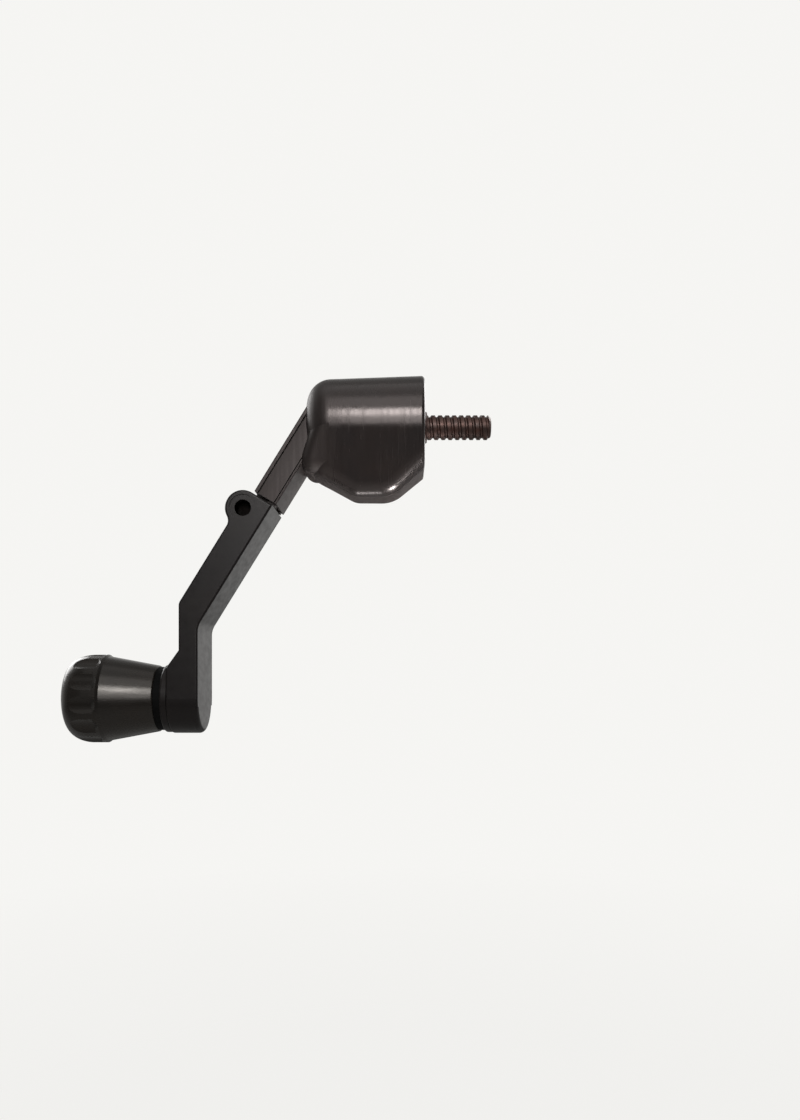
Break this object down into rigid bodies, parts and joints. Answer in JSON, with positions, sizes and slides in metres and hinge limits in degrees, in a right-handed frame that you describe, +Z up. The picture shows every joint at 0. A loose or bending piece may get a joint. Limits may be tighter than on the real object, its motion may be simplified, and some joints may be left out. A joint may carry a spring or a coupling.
{
  "type": "folding crank handle",
  "caption": "Folding crank handle with a threaded stud on a rounded hub, a hinged cranked arm and a fluted spinning knob.",
  "frame": {"origin": "where the stud's axis crosses the hub's flat seat face", "axes": "+X out along the stud, away from the hub; +Z up, with the arm hanging down to the left; the hinge pin lies along Y"},
  "size_m": [0.1046, 0.0246, 0.0909],
  "materials": {
    "hub_paint": "satin dark bronze enamel",
    "arm_paint": "satin dark bronze enamel",
    "knob_paint": "satin dark bronze enamel",
    "stud_steel": "blackened, with a brown cast",
    "pin_steel": "blackened",
    "washer_steel": "blackened",
    "screw_steel": "blackened",
    "washer_plastic": "matte black"
  },
  "bodies": {
    "hub": {"hub": "hub_paint", "stud": "stud_steel"},
    "arm": {"crank_arm": "arm_paint", "hinge_pin": "pin_steel", "hinge_washer_front": "washer_steel", "hinge_washer_back": "washer_steel", "knob_screw": "screw_steel", "knob_washer": "washer_plastic"},
    "knob": {"knob": "knob_paint"}
  },
  "joints": [
    {"name": "arm_fold", "type": "hinge", "parent": "hub", "child": "arm", "pos_m": [-0.0439, 0, -0.0216], "axis": [0, 1, 0], "range_deg": [0, 150]},
    {"name": "knob_spin", "type": "hinge", "parent": "arm", "child": "knob", "pos_m": [-0.075, 0, -0.06765], "axis": [1, 0, 0], "continuous": true}
  ]
}
